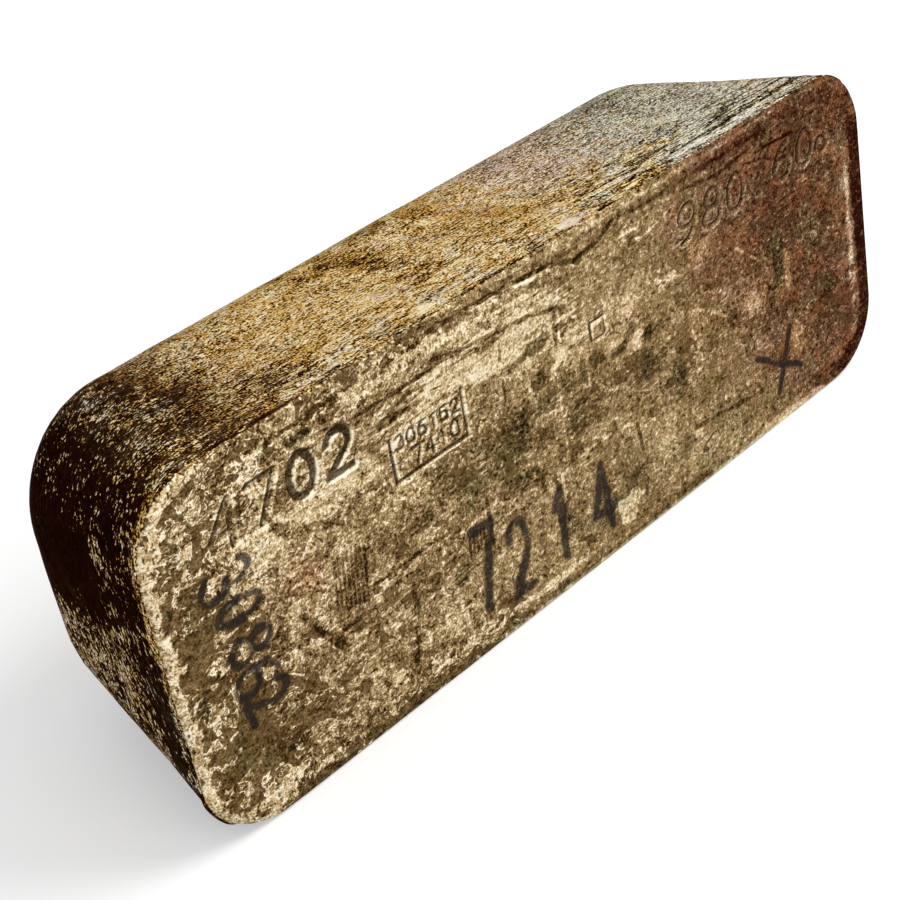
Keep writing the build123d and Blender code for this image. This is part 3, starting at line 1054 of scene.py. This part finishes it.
def line_of(value, width):
    """1 where a value crosses zero, falling to 0 as it reaches the width."""
    return value.rise(-width, 0.0) * value.fall(0.0, width)


def ramp(value, *stops):
    """Colour for a value, from stops of (place, red, green, blue)."""
    colours = [(place, tone(*screen)) for place, *screen in stops]
    return Shade.node("ShaderNodeValToRGB", {"stops": colours}, {"Fac": value})


mottle = noise((13, 11, 10), 3.0, bend=0.6)
plate = noise((7.5, 7, 5), 3.0, 0.48, shift=0.37, bend=1.6)
film_grain = noise((9, 9, 6.5), 4.0, 0.52, shift=0.19, bend=1.2)
blotch = noise((8, 7, 5), 4.0, 0.54, shift=0.61, bend=1.0)
streak = noise((20, 3.0, 2.4), 4.0, 0.58, shift=0.31, bend=0.8)
crumb = noise((1.7, 1.5, 1.3), 2.0, 0.6, shift=0.77)
fine = noise((0.65, 0.65, 0.6), 0.0, shift=0.13)
pit = noise((1.0, 1.6, 2.0), 0.0, shift=0.53)
score = noise((34, 4.0, 3.0), 2.0, 0.6, turn=(0, radians(-4), 0), shift=0.91)
slant = noise((5.0, 6.0, 26), 2.0, 0.6, turn=(0, radians(24), 0), shift=0.47)
dash = noise((2.4, 0.9, 0.9), 2.0, 0.65, shift=0.43, bend=0.9)
end_dash = noise((1.1, 1.1, 2.8), 2.0, 0.6, turn=(radians(-14), 0, 0), shift=0.23)
wander_place = placed_by((4.5, 4.5, 3.5), (0, 0, 0), 0.33)
wander_sockets = {"Vector": wander_place, "Scale": 1.0, "Detail": 0.0}
wander = Shade.node("ShaderNodeTexNoise", sockets=wander_sockets, output=1)
cell_sockets = {
    "Vector": mix(0.45, placed_by((4.2, 5.0, 2.9), (0, radians(-8), 0), 0.1), wander), "Scale": 1.0,
    "Randomness": 0.9,
}
cell = Shade.node("ShaderNodeTexVoronoi", {"distance": "CHEBYCHEV"}, cell_sockets)
cell_chance = Shade(cell.socket.node.outputs[1]) - 0.5
print("patterns:", len(toned.node_tree.nodes), "nodes")

# %% Shading of the poured face
film_edge = film_grain + crumb * 0.10 + field("film")
flaked = film_edge.rise(-0.008, 0.012)
vein_line = film_edge.rise(-0.035, -0.012) * film_edge.fall(-0.008, 0.008)
pale_grain = blotch.towards(streak, field("streaky")) + crumb * 0.12
pale = (pale_grain + field("bloom")).rise(-0.012, 0.02)
plated = (plate.rise(-0.02, 0.02) - 0.5) * field("crusty")
specks = crumb.rise(0.10, 0.15) * 0.16 - crumb.fall(-0.15, -0.10) * 0.22
cell_patch = cell_chance * cell.fall(0.36, 0.42) * field("chatter")
cell_ridge = line_of(cell - 0.45, 0.05) * plate.rise(-0.06, 0.06) * field("chatter")
scratches = line_of(score, 0.012) * mottle.rise(-0.06, 0.08)
scratches = scratches + line_of(slant, 0.010) * plate.rise(-0.02, 0.1) * 0.7
cracks = line_of(score + 0.05, 0.010) * blotch.rise(-0.03, 0.08)
dark_line = (field("dark_scar") + crumb * 0.6 + plate * 0.5).rise(0.36, 0.6)
light_line = (field("light_scar") + crumb * 0.6 + plate * 0.5).rise(0.42, 0.7)

fold_line = line_of(plate, 0.018) - line_of(plate - 0.036, 0.018)
soft = (1.1 - field("crusty")) * (plate * 0.12 + slant * 0.35 + crumb * 0.2 + fold_line * 0.15)
coarse_mix = mottle * (0.4 + field("crusty") * 0.3) + plated * 0.2 + streak * field("streaky") * 0.6
fine_mix = crumb * 0.34 + fine * (0.5 + field("crusty") * 0.2) + specks
rough_mix = coarse_mix + fine_mix + scratches * 0.26 - cracks * 0.24 + soft
film_light = 0.24 + plated * 0.08 + crumb * 0.7 + fine * 0.4
pale_light = 0.78 + crumb * 0.8 + fine * 0.7 + streak * 0.6 + plated * 0.1
face_light = field("level") + rough_mix * field("contrast")
face_light = face_light + cell_patch * 0.44 + cell_ridge * 0.16
face_light = face_light.towards(film_light, flaked * 0.8).towards(pale_light, pale * 0.8)
face_light = face_light + vein_line * field("vein") * crumb.rise(-0.15, 0.05) * 0.5
face_light = face_light - pit.rise(0.15, 0.21) * pale * field("crusty") * 0.4
# The stamps' walls that face the light and the burrs beside the numerals get a painted highlight.
face_light = face_light - dark_line * 0.3 + light_line * 0.2 + field("lit_wall") * 0.45
print("face:", len(toned.node_tree.nodes), "nodes")

# %% Lightness of the sides
grain = end_dash.towards(dash, field("along_bar"))
# Painted glints: bright specks cut out of noise where the metal is dark.
glinting = (grain + blotch * 0.5 + field("fleck")).rise(-0.005, 0.04)
scored_line = line_of(score, 0.06) * field("scored")
grain_mix = grain * 1.35 + (grain.rise(-0.03, 0.03) - 0.5) * 0.14 + fine * 1.5
# The pale lines beside the scored lines are painted highlights; the scored lines themselves are darker.
score_mix = line_of(score + 0.09, 0.04) * field("scored") * 0.14 - scored_line * 0.32
side_light = field("level") + mottle * 0.6 + plated * 0.07 + grain_mix + score_mix
dark_light = field("level") + mottle * 0.2 + grain * 0.4
shaded = field("level").fall(0.15, 0.4)
glint_light = 0.62 + crumb * 1.8 + fine * 2.2 + mottle * 0.7
side_light = side_light.towards(dark_light, shaded).towards(glint_light, glinting)
on_pour = (field("poured") + crumb * 0.5).rise(0.4, 0.6)
light = side_light.towards(face_light, on_pour)
print("sides:", len(toned.node_tree.nodes), "nodes")

# %% Colour
plain_tone = ramp(
    light, (0.0, 38, 26, 12), (0.2, 84, 63, 35), (0.4, 123, 99, 65), (0.55, 156, 130, 91),
    (0.7, 198, 173, 129), (0.85, 233, 213, 174), (1.0, 250, 240, 214),
)
rust_tone = ramp(
    light, (0.0, 44, 14, 8), (0.2, 74, 46, 28), (0.4, 106, 78, 54), (0.55, 137, 107, 80),
    (0.7, 172, 142, 112), (0.85, 214, 188, 160), (1.0, 244, 228, 206),
)
tan_tone = ramp(
    light, (0.0, 44, 22, 10), (0.2, 92, 60, 36), (0.4, 140, 103, 67), (0.55, 176, 139, 98),
    (0.7, 208, 175, 135), (0.85, 236, 212, 180), (1.0, 250, 240, 220),
)
olive_tone = ramp(
    light, (0.0, 30, 25, 12), (0.2, 72, 59, 35), (0.4, 112, 96, 62), (0.55, 147, 128, 88),
    (0.7, 188, 170, 130), (1.0, 244, 238, 218),
)
gold_tone = ramp(
    light, (0.0, 22, 5, 3), (0.15, 42, 17, 9), (0.3, 80, 54, 27), (0.45, 134, 94, 40), (0.6, 194, 149, 70),
    (0.75, 220, 184, 106), (0.9, 242, 220, 160), (1.0, 252, 240, 208),
)
sage_tone = ramp(
    light, (0.1, 30, 24, 16), (0.4, 108, 96, 72), (0.6, 166, 159, 137), (0.78, 203, 198, 178),
    (1.0, 240, 238, 226),
)
mauve_tone = ramp(
    light, (0.1, 34, 22, 16), (0.4, 118, 90, 68), (0.6, 174, 142, 117), (0.78, 212, 186, 164),
    (1.0, 240, 230, 220),
)
pink_tone = ramp(
    light, (0.15, 44, 18, 10), (0.3, 84, 54, 36), (0.45, 138, 98, 72), (0.6, 196, 152, 122),
    (0.75, 226, 190, 162), (1.0, 250, 240, 226),
)
lime_tone = ramp(
    light, (0.15, 36, 24, 8), (0.3, 74, 60, 24), (0.45, 126, 108, 50), (0.6, 182, 164, 86),
    (0.75, 216, 202, 122), (1.0, 250, 244, 206),
)
ORANGE, RED_BROWN = tone(206, 154, 62), tone(150, 92, 58)
# The first colour darkens the stamps' grooves: painted shade on walls turned from the light, and darker
# floors.
GROOVE_DARK_AND_SHADE, INK = tone(40, 30, 16), tone(36, 33, 33)

face_tone = mix((field("rust") + mottle * 1.6 + plate * 1.2).rise(0.2, 0.8), plain_tone, rust_tone)
red_share = field("rust") * cell_chance.rise(0.1, 0.2) * light.rise(0.1, 0.4) * 0.36
face_tone = mix(red_share, face_tone, RED_BROWN)
face_tone = mix((field("olive") + plate * 1.2 - cell_chance).rise(0.25, 0.75) * 0.8, face_tone, olive_tone)
face_tone = mix((field("tan") + blotch * 1.8).rise(0.3, 0.8) * 0.8, face_tone, tan_tone)
mauve_share = (field("mauve") + plate * 2.0 + crumb * 0.7).rise(0.25, 0.85)
sage_share = (field("sage") + film_grain * 1.8 + crumb * 0.7).rise(0.25, 0.8)
orange_share = (field("orange") + blotch * 1.8).rise(0.15, 0.9)
side_tone = mix(mauve_share * 0.9, mix(sage_share, gold_tone, sage_tone), mauve_tone)
side_tone = mix(orange_share * 0.5 * light.rise(0.3, 0.6), side_tone, ORANGE)
side_tone = mix((film_grain + crumb * 0.4).rise(0.02, 0.16) * 0.4, side_tone, pink_tone)
side_tone = mix((plate + crumb * 0.4).rise(0.02, 0.16) * 0.5, side_tone, lime_tone)
metal_tone = mix(on_pour, side_tone, face_tone)
# The stamps' walls turned from the light get painted shade, and the groove floors are darkened.
metal_tone = mix((field("dark_cut") + crumb * 0.6).rise(0.1, 0.8) * 0.85, metal_tone, GROOVE_DARK_AND_SHADE)
pencil = (field("ink") + film_grain * 1.6 + crumb * 1.3 + fine * 0.8).rise(0.44, 0.66)
metal_tone = mix(pencil * 0.88, metal_tone, INK)
print("colour:", len(toned.node_tree.nodes), "nodes")

# %% Shine and fine relief
RELIEF_HEIGHT, RELIEF_STRENGTH = 0.9 * MM, 0.55
SIDE_METAL, FACE_METAL = 0.5, 0.3
ROUGHNESS = 0.42
EDGE_TINT = tone(120, 100, 70)

roughened = crumb * 0.5 + (grain * 1.6).towards(plate * 0.6, field("poured"))
relief = {"Height": roughened, "Strength": RELIEF_STRENGTH, "Distance": RELIEF_HEIGHT}
finish = {
    "Base Color": metal_tone,
    "Metallic": SIDE_METAL - on_pour * (SIDE_METAL - FACE_METAL),
    "Roughness": ROUGHNESS + crumb * 0.3,
    "Specular IOR Level": 0.0,
    "Specular Tint": EDGE_TINT,
    "Normal": Shade.node("ShaderNodeBump", sockets=relief),
}
to_output(Shade.node("ShaderNodeBsdfPrincipled", sockets=finish))
skin_mesh.materials.append(toned)
print("toned silver has", len(toned.node_tree.nodes), "nodes")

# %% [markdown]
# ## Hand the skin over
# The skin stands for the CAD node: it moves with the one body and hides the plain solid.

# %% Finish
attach(skin, "root")
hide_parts("ingot")
